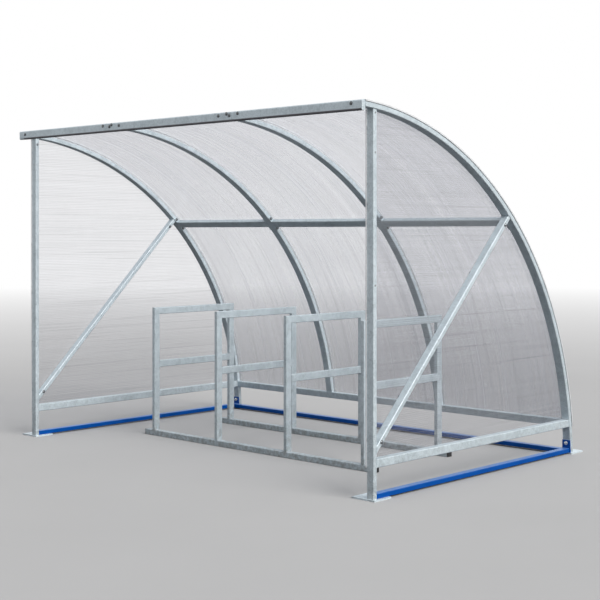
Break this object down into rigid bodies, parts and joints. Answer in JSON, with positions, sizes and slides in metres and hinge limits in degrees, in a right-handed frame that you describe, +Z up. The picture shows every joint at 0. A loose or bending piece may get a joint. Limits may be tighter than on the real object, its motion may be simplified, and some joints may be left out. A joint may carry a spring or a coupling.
{
  "type": "bike shelter",
  "caption": "Open-fronted cycle shelter with a curved translucent roof on arched tube frames, flat end panels and a rack of square tube stands.",
  "frame": {"origin": "middle of the footprint, on the ground", "axes": "+X along the open front from left to right, +Y from the front to the back, +Z up"},
  "size_m": [3.42, 2.3236, 2.2524],
  "materials": {
    "galvanised": "galvanised, dull",
    "rack_galvanised": "galvanised, dull",
    "strip": "mill finish",
    "blue_paint": "gloss paint",
    "roof_sheet": "clear twin-wall sheet",
    "end_panel": "clear twin-wall sheet",
    "black_cap": "moulded"
  },
  "bodies": {
    "root": {"base_plate_front_left": "galvanised", "base_plate_front_right": "galvanised", "base_plate_rear_left": "galvanised", "base_plate_rear_right": "galvanised", "beam_end_cap_left": "galvanised", "beam_end_cap_right": "galvanised", "end_bottom_rail_left": "galvanised", "end_bottom_rail_right": "galvanised", "end_brace_left": "galvanised", "end_brace_right": "galvanised", "end_panel_left": "end_panel", "end_panel_right": "end_panel", "front_beam": "galvanised", "front_post_left": "galvanised", "front_post_right": "galvanised", "ground_rail_back": "blue_paint", "ground_rail_left": "blue_paint", "ground_rail_right": "blue_paint", "hoop_left_end": "galvanised", "hoop_mid_left": "galvanised", "hoop_mid_right": "galvanised", "hoop_right_end": "galvanised", "joint_strip_left_end": "strip", "joint_strip_mid_left": "strip", "joint_strip_mid_right": "strip", "joint_strip_right_end": "strip", "low_back_rail": "galvanised", "purlin_left": "galvanised", "purlin_middle": "galvanised", "purlin_right": "galvanised", "rack_cap_front_left": "black_cap", "rack_cap_front_right": "black_cap", "rack_cap_rear_left": "black_cap", "rack_cap_rear_right": "black_cap", "rack_rail_front": "rack_galvanised", "rack_rail_rear": "rack_galvanised", "rack_stand_1": "rack_galvanised", "rack_stand_2": "rack_galvanised", "rack_stand_3": "rack_galvanised", "rack_stand_4": "rack_galvanised", "roof_sheet_left": "roof_sheet", "roof_sheet_middle": "roof_sheet", "roof_sheet_right": "roof_sheet"}
  },
  "joints": []
}
